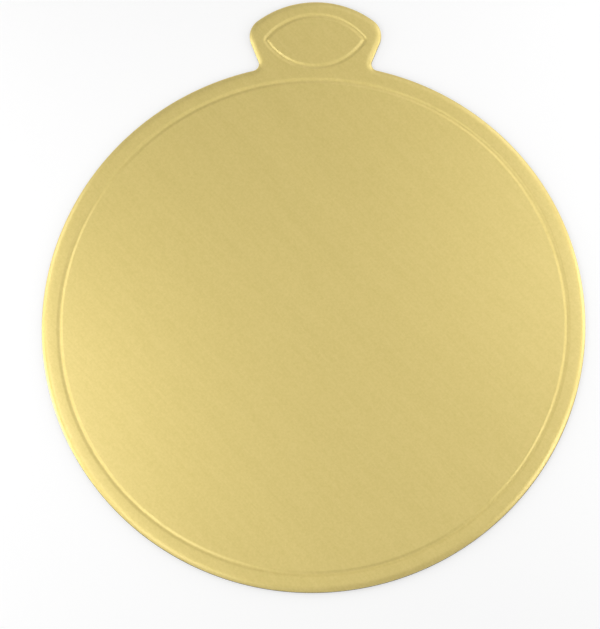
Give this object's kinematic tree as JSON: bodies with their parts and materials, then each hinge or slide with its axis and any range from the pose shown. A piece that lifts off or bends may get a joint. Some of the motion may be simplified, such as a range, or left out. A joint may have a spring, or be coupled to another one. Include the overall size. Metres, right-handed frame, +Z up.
{
  "type": "cake board",
  "caption": "Thin round cake board with a flared pull tab, satin gold film face, a pressed ring line near the edge and a pressed leaf outline in the tab.",
  "frame": {"origin": "centre of the disc on the underside, which lies on the table", "axes": "+Z up out of the gold face, +Y from the disc's centre along the pull tab, +X to the right"},
  "size_m": [0.09, 0.1006, 0.001],
  "materials": {
    "gold_film_board": "satin gold film laminated to rigid paperboard, pressed lines, die-cut edge"
  },
  "bodies": {
    "root": {"board": "gold_film_board"}
  },
  "joints": []
}
